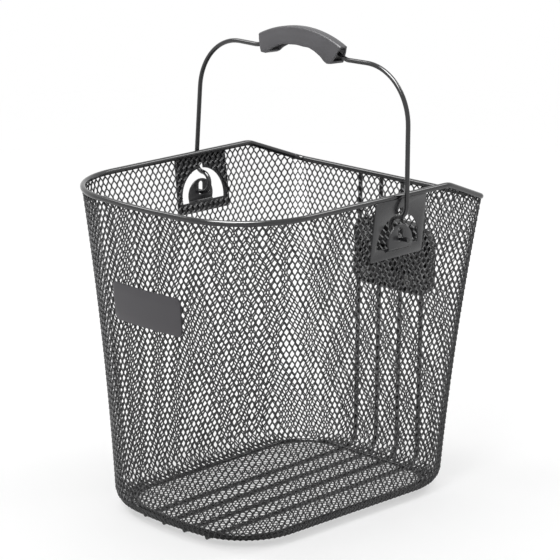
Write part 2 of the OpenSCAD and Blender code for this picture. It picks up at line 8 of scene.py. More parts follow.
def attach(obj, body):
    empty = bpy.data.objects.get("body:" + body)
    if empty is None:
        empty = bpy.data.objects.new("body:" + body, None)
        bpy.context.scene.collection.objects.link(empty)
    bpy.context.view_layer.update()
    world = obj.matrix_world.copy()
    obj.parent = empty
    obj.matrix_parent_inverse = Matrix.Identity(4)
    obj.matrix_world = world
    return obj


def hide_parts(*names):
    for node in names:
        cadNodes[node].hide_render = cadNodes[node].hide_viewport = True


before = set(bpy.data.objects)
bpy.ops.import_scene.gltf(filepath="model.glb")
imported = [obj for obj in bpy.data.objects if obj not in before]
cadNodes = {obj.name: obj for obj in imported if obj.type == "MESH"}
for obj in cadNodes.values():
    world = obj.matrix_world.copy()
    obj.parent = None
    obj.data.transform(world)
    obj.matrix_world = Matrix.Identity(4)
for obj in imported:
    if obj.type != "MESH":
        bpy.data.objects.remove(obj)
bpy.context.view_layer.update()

# lengths below are millimetres, y measured from the axis the bail swings on
mm = 0.001
pivot = {"y": 22.16, "z": 248.5}
print("frame loaded:", len(cadNodes), "nodes")


def toFrame(p):
    return Vector((p[0], p[1] + pivot["y"], p[2])) * mm


def pick(obj):
    bpy.ops.object.select_all(action="DESELECT")
    obj.select_set(True)
    bpy.context.view_layer.objects.active = obj


def applyAll(obj):
    pick(obj)
    for mod in list(obj.modifiers):
        bpy.ops.object.modifier_apply(modifier=mod.name)


def editAll(obj):
    pick(obj)
    bpy.ops.object.mode_set(mode="EDIT")
    bpy.ops.mesh.select_all(action="SELECT")


def leaveEdit():
    bpy.ops.object.mode_set(mode="OBJECT")


def normalsOut(obj, merge=0.0):
    editAll(obj)
    if merge:
        bpy.ops.mesh.remove_doubles(threshold=merge)
    bpy.ops.mesh.normals_make_consistent(inside=False)
    leaveEdit()


def smoothBy(obj, degrees):
    pick(obj)
    bpy.ops.object.shade_smooth_by_angle(angle=math.radians(degrees))


def moveVerts(obj, place):
    for v in obj.data.vertices:
        v.co = place(v.co.copy())
    obj.data.update()


def addGauge(obj, thick, offset=0.0):
    mod = obj.modifiers.new("gauge", "SOLIDIFY")
    mod.thickness = thick
    mod.offset = offset


def addEdges(obj, width, degrees=50.0):
    mod = obj.modifiers.new("edges", "BEVEL")
    mod.width = width * mm
    mod.segments = 2
    mod.limit_method = "ANGLE"
    mod.angle_limit = math.radians(degrees)


def finishPiece(obj, body, slot, material, *replaced):
    obj.data.materials.clear()
    obj.data.materials.append(material)
    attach(obj, body)
    if replaced:
        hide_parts(*replaced)


# materials: two noises over one base colour, one for tone and gloss, one for relief
def linear(code):
    parts = [int(code[k:k + 2], 16) / 255 for k in (1, 3, 5)]
    return [c / 12.92 if c <= 0.04045 else ((c + 0.055) / 1.055) ** 2.4 for c in parts] + [1.0]


def addNode(tree, kind, settings, links):
    new = tree.nodes.new(kind)
    for key, value in settings.items():
        if isinstance(key, str) and hasattr(new, key):
            setattr(new, key, value)
        else:
            new.inputs[key].default_value = value
    for key, socket in links.items():
        tree.links.new(socket, new.inputs[key])
    return new


# rays that see the white surround: the camera's own, and those off gloss or through glass
def seenRays(tree):
    rays = addNode(tree, "ShaderNodeLightPath", {}, {})
    seen = rays.outputs["Is Camera Ray"]
    for kind in ("Is Glossy Ray", "Is Transmission Ray"):
        either = addNode(tree, "ShaderNodeMath", {"operation": "MAXIMUM"}, {0: seen, 1: rays.outputs[kind]})
        seen = either.outputs["Value"]
    return seen


def makeMaterial(name, look):
    mat = bpy.data.materials.new(name)
    mat.use_nodes = True
    tree = mat.node_tree
    tree.nodes.clear()
    place = addNode(tree, "ShaderNodeTexCoord", {}, {})
    grain = addNode(tree, "ShaderNodeTexNoise",
                    {"Scale": 1 / (look["grainSize"] * mm), "Detail": 3.0, "Roughness": 0.55},
                    {"Vector": place.outputs["Object"]})
    patches = addNode(tree, "ShaderNodeTexNoise",
                      {"Scale": 1 / (look["patchSize"] * mm), "Detail": 2.0},
                      {"Vector": place.outputs["Object"]})
    tone = addNode(tree, "ShaderNodeMix", {"data_type": "RGBA"}, {"Factor": patches.outputs["Fac"]})
    tone.inputs[6].default_value = linear(look["colour"])
    tone.inputs[7].default_value = linear(look["other"])
    gloss = addNode(tree, "ShaderNodeMapRange",
                    {"From Min": 0.3, "From Max": 0.7, "To Min": look["rough"] - look["roughSpread"],
                     "To Max": look["rough"] + look["roughSpread"]},
                    {"Value": patches.outputs["Fac"]})
    relief = addNode(tree, "ShaderNodeBump",
                     {"Strength": look["bump"], "Distance": look["bumpDepth"] * mm},
                     {"Height": grain.outputs["Fac"]})
    shader = addNode(tree, "ShaderNodeBsdfPrincipled",
                     {"Metallic": look["metallic"], "IOR": look["ior"]},
                     {"Base Color": tone.outputs[2], "Roughness": gloss.outputs["Result"],
                      "Normal": relief.outputs["Normal"]})
    addNode(tree, "ShaderNodeOutputMaterial", {}, {"Surface": shader.outputs["BSDF"]})
    return mat


# powder-coated mesh: near-black, satin, faint orange peel that breaks up the glints
meshCoat = makeMaterial("powder-coated expanded steel", {
    "colour": "#141416", "other": "#222224", "rough": 0.5, "roughSpread": 0.06, "metallic": 0.0, "ior": 1.5,
    "grainSize": 0.7, "patchSize": 18, "bump": 0.25, "bumpDepth": 0.05})
# coated rods: smoother film, so long clean highlights run along them
rodCoat = makeMaterial("powder-coated steel rod", {
    "colour": "#111113", "other": "#18181a", "rough": 0.13, "roughSpread": 0.03, "metallic": 0.0, "ior": 1.6,
    "grainSize": 0.9, "patchSize": 22, "bump": 0.12, "bumpDepth": 0.04})
# bracket plate: the same film over pressed sheet, a touch lighter where it faces the light
plateCoat = makeMaterial("powder-coated pressed steel", {
    "colour": "#1a1a1c", "other": "#272729", "rough": 0.26, "roughSpread": 0.05, "metallic": 0.0, "ior": 1.6,
    "grainSize": 0.8, "patchSize": 14, "bump": 0.2, "bumpDepth": 0.05})
# grip: moulded plastic with a dry, even sheen
gripPlastic = makeMaterial("moulded polypropylene", {
    "colour": "#4a494c", "other": "#545356", "rough": 0.45, "roughSpread": 0.06, "metallic": 0.0, "ior": 1.49,
    "grainSize": 0.6, "patchSize": 25, "bump": 0.3, "bumpDepth": 0.04})
# label: a flat satin film over thin sheet, paler than the rods
labelFilm = makeMaterial("painted aluminium", {
    "colour": "#38363a", "other": "#3e3c40", "rough": 0.4, "roughSpread": 0.05, "metallic": 0.0, "ior": 1.5,
    "grainSize": 0.5, "patchSize": 30, "bump": 0.15, "bumpDepth": 0.03})
# adapter: grained black plastic that stays dull behind the mesh
adapterPlastic = makeMaterial("glass-filled nylon", {
    "colour": "#0b0b0c", "other": "#121213", "rough": 0.6, "roughSpread": 0.07, "metallic": 0.0, "ior": 1.45,
    "grainSize": 0.5, "patchSize": 16, "bump": 0.4, "bumpDepth": 0.06})
# screws: bright plated steel, the only bare metal
zincPlate = makeMaterial("zinc-plated steel", {
    "colour": "#9c9c9e", "other": "#b0afac", "rough": 0.3, "roughSpread": 0.08, "metallic": 1.0, "ior": 2.0,
    "grainSize": 0.4, "patchSize": 4, "bump": 0.15, "bumpDepth": 0.02})
print("materials ready")


# wall: turns up round the floor's edge, then bows in a little on its way to the rim rod
wall = {"lowZ": 4.9, "edgeR": 15.5, "backZ": 260.3, "topZ": 281.8, "bow": math.radians(6.5), "sag": 2.6,
        "rearTurn": math.radians(82.0), "rearRise": 3.06, "ends": [0, 6, 9, 13, 25, 33, 36], "step": 0.1}
wall["edgeZ"] = wall["lowZ"] + wall["edgeR"]
wall["turn"] = wall["edgeR"] * math.pi / 2


def halfPlan(backW, backY, rearR, midW, midY, frontW, frontR, frontY, grow=0.0):
    bow, half, r = wall["bow"], frontW / 2 + grow, frontR + grow
    flare = 0.0
    for _ in range(2):
        bowR = (half / math.cos(bow) - r * math.tan((math.pi / 2 - bow + flare) / 2)) / math.tan(bow)
        tip = -frontY - grow - bowR * (1 / math.cos(bow) - 1)
        corner = tip + half * math.tan(bow)
        flare = math.atan((half - midW / 2 - grow) / (midY - corner))
    return [(0, backY + grow, 0), (backW / 2 + grow, backY + grow, rearR + grow), (midW / 2 + grow, midY, 0),
            (half, corner, r), (0, tip, bowR)]


def arcPoint(corner, r, a, b, t):
    turn = a.angle(b, 0.0)
    if turn < 1e-6:
        return corner.copy()
    side = (b - a * a.dot(b)).normalized()
    swing = a * math.sin(t * turn) - side * math.cos(t * turn)
    return corner - a * r * math.tan(turn / 2) + side * r + r * swing


def planAt(plan, u):
    pts = [Vector((p[0], p[1], 0)) for p in plan]
    pts.append(Vector((-plan[3][0], plan[3][1], 0)))
    ways = [(pts[k + 1] - pts[k]).normalized() for k in range(len(pts) - 1)]

    def corner(k, t):
        return arcPoint(pts[k], plan[k][2], ways[k - 1], ways[k], t)

    ends = wall["ends"]
    run = min(5, max(0, bisect_right(ends, u) - 1))
    t = (u - ends[run]) / (ends[run + 1] - ends[run])
    if run == 0:
        return pts[0].lerp(corner(1, 0), t)
    if run == 1:
        return corner(1, t)
    if run == 2:
        return corner(1, 1).lerp(pts[2], t)
    if run == 3:
        return pts[2].lerp(corner(3, 0), t)
    if run == 4:
        return corner(3, t)
    return corner(4, t / 2)


floorSize = (171.5, 97, 40.5, 169.5, 45, 163.5, 49.5, 146.9)
rimSize = (223, 116.5, 10, 240, 60, 235, 74, 181.3)
lowPlan = halfPlan(*floorSize)
widePlan = halfPlan(*floorSize, grow=wall["edgeR"])
topPlan = halfPlan(*rimSize)
count = int(round(wall["ends"][-1] / wall["step"]))
wall["u"] = [k * wall["step"] for k in range(count + 1)]
wall["low"] = [planAt(lowPlan, u) for u in wall["u"]]
wall["wide"] = [planAt(widePlan, u) for u in wall["u"]]
wall["top"] = [planAt(topPlan, u) for u in wall["u"]]


def topHeight(u):
    a, b, c = wall["ends"][1:4]
    if u < b:
        turn = wall["rearTurn"] * max(0.0, u - a) / (b - a)
        return wall["backZ"] + wall["rearRise"] * (1 - math.cos(turn)) / (1 - math.cos(wall["rearTurn"]))
    low = wall["backZ"] + wall["rearRise"]
    return low + (wall["topZ"] - low) * min(1.0, (u - b) / (c - b))


# arc length at several heights, so the openings keep an even pitch all round the wall
def lengthsAt(up):
    line = [a.lerp(b, up) for a, b in zip(wall["wide"], wall["top"])]
    sums = [0.0]
    for a, b in zip(line, line[1:]):
        sums.append(sums[-1] + (b - a).length)
    return sums


wall["levels"] = [lengthsAt(k / 8) for k in range(9)]
wall["s"] = wall["levels"][4]
wall["half"] = wall["s"][-1]
wall["high"] = wall["topZ"] - wall["edgeZ"]


def onLevel(level, share):
    s = share * level[-1]
    k = min(count - 1, max(0, bisect_right(level, s) - 1))
    return (k + min(1.0, (s - level[k]) / (level[k + 1] - level[k]))) * wall["step"]


# s runs round the wall at mid height, t up the sheet from the floor's edge
def uAt(s, t):
    share = abs(s) / wall["half"]
    if share > 1:
        share = 2 - share
    up = 8 * min(1.0, max(0.0, (t - wall["turn"]) / wall["high"]))
    k = min(7, int(up))
    low, high = onLevel(wall["levels"][k], share), onLevel(wall["levels"][k + 1], share)
    return low + (high - low) * (up - k)


def sideOf(s):
    return -1 if s < 0 or s > wall["half"] else 1


def sAt(u):
    return wall["s"][min(count, int(round(u / wall["step"])))]


def upTo(z):
    return z - wall["edgeZ"] + wall["turn"]


def wallAt(s, t, off=0.0):
    u = uAt(s, t)
    k = min(count - 1, int(u / wall["step"]))
    share = u / wall["step"] - k
    low, wide, top = (wall[name][k].lerp(wall[name][k + 1], share) for name in ("low", "wide", "top"))
    out = (wide - low).normalized()
    if t < wall["turn"]:
        a = max(0.0, t) / wall["edgeR"]
        p = low.lerp(wide, math.sin(a)) + out * min(0.0, t)
        p.z = wall["edgeZ"] - wall["edgeR"] * math.cos(a)
        n = out * math.sin(a) - Vector((0, 0, math.cos(a)))
    else:
        rise = topHeight(u) - wall["edgeZ"]
        up = (t - wall["turn"]) / rise
        p = wide.lerp(top, up) - out * wall["sag"] * 4 * up * (1 - up)
        p.z = wall["edgeZ"] + t - wall["turn"]
        lean = (top - wide).dot(out) - wall["sag"] * 4 * (1 - 2 * up)
        n = (out * rise - Vector((0, 0, lean))).normalized()
    p = p + n * off
    return Vector((p.x * sideOf(s), p.y, p.z))


# expanded metal: one opening, copied by arrays and laid on the wall
net = {"pitch": 6.1, "row": 5.1, "tall": 4.15, "short": 0.95, "strand": 0.82, "bond": 0.96, "tilt": 9.0,
       "thick": 1.0, "grow": 2.5}
columns = 2 * round(wall["half"] / net["pitch"])
net["pitch"] = 2 * wall["half"] / columns


def openCell(pitch, row, strand):
    bpy.ops.object.select_all(action="DESELECT")
    bpy.ops.mesh.primitive_circle_add(vertices=6, radius=net["tall"], fill_type="NGON")
    cell = bpy.context.object
    cell.data.transform(Matrix.Diagonal((pitch / 2 / (net["tall"] * math.cos(math.pi / 6)), 1, 1, 1)))
    for v in cell.data.vertices:
        if abs(v.co.y) < 0.9 * net["tall"]:
            v.co.y = math.copysign(net["short"], v.co.y)
    editAll(cell)
    bpy.ops.mesh.inset(thickness=strand / 2)
    bpy.ops.transform.resize(value=(net["bond"], 1, 1), center_override=(0, 0, 0))
    bpy.ops.transform.rotate(value=math.radians(net["tilt"]), orient_axis="X", center_override=(0, 0, 0))
    bpy.ops.mesh.delete(type="FACE")
    bpy.ops.mesh.select_all(action="SELECT")
    bpy.ops.mesh.duplicate()
    bpy.ops.transform.translate(value=(pitch / 2, row, 0))
    leaveEdit()
    return cell


def sheetOf(cell, name, pitch, row, across, pairs):
    sheet = cell.copy()
    sheet.data = cell.data.copy()
    sheet.name = sheet.data.name = name
    bpy.context.collection.objects.link(sheet)
    for axis, number, gap in ((0, across, pitch), (1, pairs, 2 * row)):
        mod = sheet.modifiers.new("repeat", "ARRAY")
        mod.count = number
        mod.use_relative_offset = False
        mod.use_constant_offset = True
        mod.constant_offset_displace = [gap if k == axis else 0 for k in range(3)]
    applyAll(sheet)
    editAll(sheet)
    bpy.ops.mesh.remove_doubles(threshold=0.02)
    leaveEdit()
    return sheet


def thicken(sheet, thick):
    addGauge(sheet, thick)
    applyAll(sheet)


def cutSheet(sheet, away, squash):
    bm = bmesh.new()
    bm.from_mesh(sheet.data)
    gone = [f for f in bm.faces if away(f)]
    bmesh.ops.delete(bm, geom=gone, context="FACES")
    for v in bm.verts:
        v.co = squash(v.co)
    bmesh.ops.remove_doubles(bm, verts=bm.verts, dist=0.05)
    bmesh.ops.dissolve_degenerate(bm, edges=bm.edges, dist=0.02)
    bm.to_mesh(sheet.data)
    bm.free()


# h and low are heights over and under the axis of the bail
plate = {"thick": 1.5, "low": 17.0, "lowW": 63.0, "topW": 61.0, "topX": 121.147, "topZ": 281.4, "nearX": 80.0,
         "slope": math.radians(6.62654), "cornerR": 2.0, "round": 0.6, "tuck": 1.6,
         "archR": 25.0, "archTop": 21.5, "archFoot": 7.4, "arcSteps": 24,
         "notchR": 2.4, "notchUp": 5.0, "notchSteps": 6,
         "tongueR": 14.6, "tongueTop": 12.0, "tongueOut": 3.0, "hole": 2.5, "slot": 7.0, "holeSteps": 12,
         "joggleShare": 0.96, "joggleDrop": 1.2, "joggleLap": 0.3, "joggleSteps": 8, "joggleCols": 4}


def inArch(p, grow):
    h = p.z - pivot["z"]
    if abs(p.x) < plate["nearX"] or h < -plate["archFoot"] - grow:
        return False
    return math.hypot(p.y, h - (plate["archTop"] - plate["archR"])) < plate["archR"] + grow


rows = int(upTo(wall["topZ"]) / net["row"]) + 3
panels = {"mesh_back": (-5.5, 5.5), "mesh_back_right": (5.5, 12.5), "mesh_right": (12.5, 24.5),
          "mesh_corner_right_side": (24.5, 28.5), "mesh_corner_right_front": (28.5, 32.5),
          "mesh_front": (32.5, 39.5), "mesh_corner_left_front": (39.5, 43.5),
          "mesh_corner_left_side": (43.5, 47.5), "mesh_left": (47.5, 59.5), "mesh_back_left": (59.5, 66.5)}


def roundS(u):
    if u < 0:
        return -sAt(-u)
    return sAt(u) if u <= 36 else 2 * wall["half"] - sAt(72 - u)


cell = openCell(net["pitch"], net["row"], net["strand"])
for name, (u0, u1) in panels.items():
    c0 = round(roundS(u0) / net["pitch"])
    c1 = round(roundS(u1) / net["pitch"])
    sheet = sheetOf(cell, name + "_net", net["pitch"], net["row"], c1 - c0, (rows + 1) // 2 + 1)
    sheet.data.transform(Matrix.Translation((c0 * net["pitch"], -net["row"], 0)))

    def topOf(co):
        return upTo(topHeight(uAt(co.x, co.y)))

    def away(f):
        if all(v.co.y <= 0.01 for v in f.verts) or all(v.co.y >= topOf(v.co) - 0.01 for v in f.verts):
            return True
        mid = f.calc_center_median()
        return inArch(wallAt(mid.x, mid.y), net["grow"])

    cutSheet(sheet, away, lambda co: Vector((co.x, min(max(co.y, 0.0), topOf(co)), co.z)))
    thicken(sheet, net["thick"])
    moveVerts(sheet, lambda co: toFrame(wallAt(co.x, co.y, co.z)))
    normalsOut(sheet)
    finishPiece(sheet, "basket", "mesh", meshCoat, name)
print("wall net:", columns, "columns,", rows, "rows")


# floor of the same net, its edge turned up along the foot of the wall
floorNet = {"z": 5.9, "thick": 0.3, "strand": 1.1, "across": 32, "deep": 60, "shift": 25, "hemOff": -1.2,
            "hemPairs": 1, "hemStrand": 1.5}


def insideFloor(x, y):
    x = abs(x)
    hits = 0
    for a, b in zip(wall["low"], wall["low"][1:]):
        if (a.y > y) != (b.y > y) and x < a.x + (y - a.y) / (b.y - a.y) * (b.x - a.x):
            hits += 1
    return hits % 2 == 1


floorCell = openCell(net["pitch"], net["row"], floorNet["strand"])
sheet = sheetOf(floorCell, "floor_net", net["pitch"], net["row"], floorNet["across"], floorNet["deep"] // 2)
sheet.data.transform(Matrix.Translation((-floorNet["across"] / 2 * net["pitch"],
                                         -floorNet["deep"] / 2 * net["row"] - floorNet["shift"], 0)))
cutSheet(sheet, lambda f: not insideFloor(*f.calc_center_median().xy), lambda co: Vector((co.x, co.y, 0)))
thicken(sheet, floorNet["thick"])
moveVerts(sheet, lambda co: toFrame((co.x, co.y, floorNet["z"] + co.z)))
normalsOut(sheet)
finishPiece(sheet, "basket", "mesh", meshCoat, "floor_mesh")

hemCell = openCell(net["pitch"], net["row"], floorNet["hemStrand"])
hem = sheetOf(hemCell, "floor_hem", net["pitch"], net["row"], columns, floorNet["hemPairs"])
thicken(hem, floorNet["thick"])
moveVerts(hem, lambda co: toFrame(wallAt(co.x - (2 * wall["half"] if co.x > 2 * wall["half"] else 0),
                                         net["tall"] + co.y, floorNet["hemOff"] + co.z)))
normalsOut(hem, 1e-6)
finishPiece(hem, "basket", "mesh", meshCoat)
for spare in (cell, floorCell, hemCell):
    bpy.data.objects.remove(spare)
print("floor and hem done")


# rods: corner points with a bend radius each, swept round
def rounded(corners, closed):
    line = []
    total = len(corners)
    for k, c in enumerate(corners):
        here = Vector(c[:3])
        if not closed and k in (0, total - 1):
            line.append(here)
            continue
        a = (here - Vector(corners[k - 1][:3])).normalized()
        b = (Vector(corners[(k + 1) % total][:3]) - here).normalized()
        n = max(2, math.ceil(math.degrees(a.angle(b, 0.0)) / 5))
        line += [arcPoint(here, c[3], a, b, m / n) for m in range(n + 1)]
    return [p for k, p in enumerate(line) if k == 0 or (p - line[k - 1]).length > 0.02]


def sweepRod(name, corners, diameter, closed, place=toFrame, sides=5):
    data = bpy.data.curves.new(name, "CURVE")
    data.dimensions = "3D"
    data.bevel_depth = diameter / 2 * mm
    data.bevel_resolution = sides
    data.use_fill_caps = True
    points = rounded(corners, closed)
    spline = data.splines.new("POLY")
    spline.points.add(len(points) - 1)
    for p, target in zip(points, spline.points):
        target.co = (*place(p), 1)
    spline.use_cyclic_u = closed
    obj = bpy.data.objects.new(name, data)
    bpy.context.collection.objects.link(obj)
    pick(obj)
    bpy.ops.object.convert(target="MESH")
    obj = bpy.context.object
    normalsOut(obj, 1e-6)
    smoothBy(obj, 40)
    return obj


rimRod = {"d": 5.0, "z": 284.0, "backZ": 262.5, "rearR": 10, "humpR": 25}
p = halfPlan(*rimSize)
ring = [(p[1][0], p[1][1], rimRod["backZ"], rimRod["rearR"]),
        (p[2][0], p[2][1], rimRod["z"], rimRod["humpR"]),
        (p[3][0], p[3][1], rimRod["z"], p[3][2]),
        (0, p[4][1], rimRod["z"], p[4][2])]
ring += [(-x, y, z, r) for x, y, z, r in ring[2::-1]]
rim = sweepRod("rim_rod", ring, rimRod["d"], True)
finishPiece(rim, "basket", "rod", rodCoat, "rim")

hemWire = {"d": 4.0, "z": 6.1, "in": 2.2, "sideR": 25}
p = halfPlan(*floorSize, grow=-hemWire["in"])
ring = [(p[k][0], p[k][1], hemWire["z"], p[k][2] if k != 2 else hemWire["sideR"]) for k in range(1, 4)] + [
    (0, p[4][1], hemWire["z"], p[4][2])]
ring += [(-x, y, z, r) for x, y, z, r in ring[2::-1]]
hemRod = sweepRod("hem_wire", ring, hemWire["d"], True)
finishPiece(hemRod, "basket", "rod", rodCoat, "base_ring")

backWire = {"d": 4.0, "count": 4, "pitch": 25.5, "lowY": 116.8, "topY": 121.1, "topZ": 262.5, "z": 2,
            "bendR": 16, "tip": 0.3}
bowR = lowPlan[4][2]
for k in range(backWire["count"]):
    x = (k - (backWire["count"] - 1) / 2) * backWire["pitch"]
    front = -floorSize[-1] + bowR - math.sqrt(bowR ** 2 - x * x) - backWire["tip"]
    wire = sweepRod("support_wire_%d_rod" % (k + 1),
                    [(x, front, backWire["z"], 0), (x, backWire["lowY"], backWire["z"], backWire["bendR"]),
                     (x, backWire["topY"], backWire["topZ"], 0)], backWire["d"], False, sides=4)
    finishPiece(wire, "basket", "rod", rodCoat, "support_wire_%d" % (k + 1))
print("rods done")


# bail in its own upright plane, leaning back a little
bail = {"d": 4.0, "lean": math.radians(2.5), "pinX": 130.0, "hookX": 109.325, "hookR": 18.0, "bendR": 8.99,
        "half": 126.8, "taper": 4.4, "h": 141.0, "shoulder": 48.0, "archHalf": 51.5, "valleyZ": 140.0,
        "valleyR": 15.0, "tip": 167.31, "archR": 104.91, "mid": 155.5}


def leaning(p):
    return toFrame((p[0], p[2] * math.sin(bail["lean"]) + p[1] * math.cos(bail["lean"]),
                    pivot["z"] + p[2] * math.cos(bail["lean"]) - p[1] * math.sin(bail["lean"])))


side = [(bail["pinX"], 0, 0, 0), (bail["hookX"], 0, 0, bail["bendR"]),
        (bail["hookX"], 0, bail["hookR"], bail["bendR"]), (bail["half"], 0, bail["hookR"], bail["bendR"]),
        (bail["half"] - bail["taper"], 0, bail["h"], bail["shoulder"]),
        (bail["archHalf"], 0, bail["valleyZ"], bail["valleyR"])]
path = side + [(0, 0, bail["tip"], bail["archR"])] + [(-x, y, z, r) for x, y, z, r in side[::-1]]
bailRod = sweepRod("bail_wire", path, bail["d"], False, place=leaning, sides=6)
finishPiece(bailRod, "handle", "rod", rodCoat, "bail")
print("bail done")


# grip: an arched channel, deeper towards its ends, with a finger line below
grip = {"angle": 26.0, "up": 6.5, "w": 16.0, "topW": 9.5, "thick": 2.0, "steps": 56, "edge": 2.2,
        "round": 0.6, "ripple": 0.15, "waves": 4, "foot": 5.0, "footSteps": 6, "footIn": 0.5,
        "depths": [(0.0, 8.4), (5.0, 9.0), (9.0, 8.2), (13.0, 8.8), (18.0, 10.8), (21.0, 12.6), (23.5, 12.6),
                   (26.0, 10.0)]}


def gripDepth(a):
    a = abs(a)
    for (a0, d0), (a1, d1) in zip(grip["depths"], grip["depths"][1:]):
        if a <= a1:
            t = (a - a0) / (a1 - a0)
            return d0 + (d1 - d0) * t
    return grip["depths"][-1][1]


def gripSection(a):
    half, r = grip["topW"] / 2, grip["edge"]
    flare = (grip["w"] / 2 - half) / (grip["up"] + grip["depths"][0][1])
    wave = math.cos(math.radians(a) / math.radians(grip["angle"]) * math.pi * grip["waves"])
    low = -gripDepth(a) - grip["ripple"] * wave
    side = [low + (grip["up"] - r - low) * k / 4 for k in range(4)]
    pts = [(-min(half + flare * (grip["up"] - h), grip["w"] / 2), h) for h in side]
    pts += [(-half + r - r * math.cos(math.radians(q)), grip["up"] - r + r * math.sin(math.radians(q)))
            for q in range(0, 91, 15)]
    return pts + [(-w, h) for w, h in pts[::-1]]


def buildGrid(name, sections):
    across = len(sections[0])
    verts = [p for s in sections for p in s]
    faces = [(i * across + j, i * across + j + 1, (i + 1) * across + j + 1, (i + 1) * across + j)
             for i in range(len(sections) - 1) for j in range(across - 1)]
    data = bpy.data.meshes.new(name)
    data.from_pydata(verts, [], faces)
    obj = bpy.data.objects.new(name, data)
    bpy.context.collection.objects.link(obj)
    return obj


def onArch(a, w, h):
    turn, r = math.radians(a), bail["archR"] + h
    return leaning((r * math.sin(turn), w, bail["mid"] - bail["archR"] + r * math.cos(turn)))


sections = []
for k in range(grip["steps"] + 1):
    a = -grip["angle"] + 2 * grip["angle"] * k / grip["steps"]
    sections.append([onArch(a, w, h) for w, h in gripSection(a)])
gripBody = buildGrid("grip_shell", sections)
normalsOut(gripBody)
# both ends are closed below by a short foot between the two sides
feet = []
for end in (-1, 1):
    strips = []
    for k in range(grip["footSteps"] + 1):
        a = end * (grip["angle"] - grip["foot"] * k / grip["footSteps"])
        depth = grip["thick"] * 0.5 - gripDepth(a)
        strips.append([onArch(a, w * (grip["w"] / 2 - grip["footIn"]), depth) for w in (-1, -0.5, 0, 0.5, 1)])
    feet.append(buildGrid("grip_foot", strips))
for piece, offset in ((gripBody, -1), (feet[0], 0), (feet[1], 0)):
    normalsOut(piece)
    addGauge(piece, grip["thick"] * mm, offset)
    addEdges(piece, grip["round"])
    applyAll(piece)
pick(gripBody)
for foot in feet:
    foot.select_set(True)
bpy.ops.object.join()
normalsOut(gripBody)
smoothBy(gripBody, 40)
finishPiece(gripBody, "handle", "grip", gripPlastic, "grip")
print("grip done")


# brackets: pressed plate with an arch window and a joggled tongue
def flatPiece(name, outlines, thick, bevel):
    data = bpy.data.curves.new(name, "CURVE")
    data.dimensions = "2D"
    data.fill_mode = "BOTH"
    data.extrude = thick / 2 - bevel
    data.bevel_depth = bevel
    data.bevel_resolution = 1
    for pts in outlines:
        spline = data.splines.new("POLY")
        spline.points.add(len(pts) - 1)
        for q, target in zip(pts, spline.points):
            target.co = (q[0], q[1], 0, 1)
        spline.use_cyclic_u = True
    data.offset = -bevel
    obj = bpy.data.objects.new(name, data)
    bpy.context.collection.objects.link(obj)
    pick(obj)
    bpy.ops.object.convert(target="MESH")
    obj = bpy.context.object
    normalsOut(obj, 1e-4)
    return obj


def roundTop(r, top, foot, notch=0.0, up=0.0):
    centre = top - r
    start, stop = math.asin((-foot - centre) / r), math.acos(notch / r)
    half = [(r * math.cos(q), centre + r * math.sin(q))
            for q in (start + (stop - start) * k / plate["arcSteps"] for k in range(plate["arcSteps"] + 1))]
    if notch:
        half += [(notch * math.cos(q), top + up - notch + notch * math.sin(q))
                 for q in (k * math.pi / 2 / plate["notchSteps"] for k in range(plate["notchSteps"]))]
        half.append((0, top + up))
    return half + [(-x, y) for x, y in half[-2::-1]]


def roundBox(lowW, topW, high, r):
    corners = [(-lowW / 2, 0, 0, r), (lowW / 2, 0, 0, r), (topW / 2, high, 0, r), (-topW / 2, high, 0, r)]
    return [(q.x, q.y) for q in rounded(corners, True)]


cosS, sinS = math.cos(plate["slope"]), math.sin(plate["slope"])
plateX = plate["topX"] - (plate["topZ"] - pivot["z"] + plate["low"]) * math.tan(plate["slope"])
plateLong = (plate["topZ"] - pivot["z"] + plate["low"]) / cosS + plate["tuck"]
window = [(y, (h + plate["low"]) / cosS) for y, h in
          roundTop(plate["archR"], plate["archTop"], plate["archFoot"], plate["notchR"], plate["notchUp"])]
tongueX = plate["topX"] - (plate["topZ"] - pivot["z"]) * math.tan(plate["slope"]) + plate["tongueOut"]
hole = [(plate["hole"] * math.cos(q), plate["hole"] * math.sin(q) + (plate["slot"] if q < math.pi else 0.0))
        for q in ((k + 0.5) * math.pi / plate["holeSteps"] for k in range(2 * plate["holeSteps"]))]


def onPlate(co):
    up = pivot["z"] - plate["low"] + co.y * cosS - co.z * sinS
    return toFrame((plateX + co.y * sinS + co.z * cosS, co.x, up))


def upright(co):
    return toFrame((tongueX + co.z, co.x, pivot["z"] + co.y))


face = flatPiece("bracket_plate",
                 [roundBox(plate["lowW"], plate["topW"], plateLong, plate["cornerR"]), window],
                 plate["thick"], plate["round"])
moveVerts(face, onPlate)
tongue = flatPiece("bracket_tongue",
                   [roundTop(plate["tongueR"], plate["tongueTop"], plate["archFoot"]), hole],
                   plate["thick"], plate["round"])
moveVerts(tongue, upright)

footDrop = plate["archFoot"] + plate["tongueTop"] - plate["tongueR"]
tongueW = 2 * math.sqrt(plate["tongueR"] ** 2 - footDrop ** 2)
lowZ = -plate["archFoot"] - plate["joggleDrop"] * plate["tongueOut"]
lowX = plateX + (plate["low"] + lowZ) * math.tan(plate["slope"])
bend = []
for k in range(plate["joggleSteps"] + 1):
    t = k / plate["joggleSteps"]
    ease = t * t * (3 - 2 * t)
    up = pivot["z"] + lowZ + (-plate["archFoot"] + plate["joggleLap"] - lowZ) * t
    out = lowX + (tongueX - lowX) * ease
    bend.append([toFrame((out, -tongueW / 2 + tongueW * j / plate["joggleCols"], up))
                 for j in range(plate["joggleCols"] + 1)])
joggle = buildGrid("bracket_joggle", bend)
normalsOut(joggle)
thicken(joggle, plate["thick"] * plate["joggleShare"] * mm)
pick(face)
tongue.select_set(True)
joggle.select_set(True)
bpy.ops.object.join()
normalsOut(face)
smoothBy(face, 35)
face.name = "bracket_right_plate"
other = face.copy()
other.data = face.data.copy()
other.name = "bracket_left_plate"
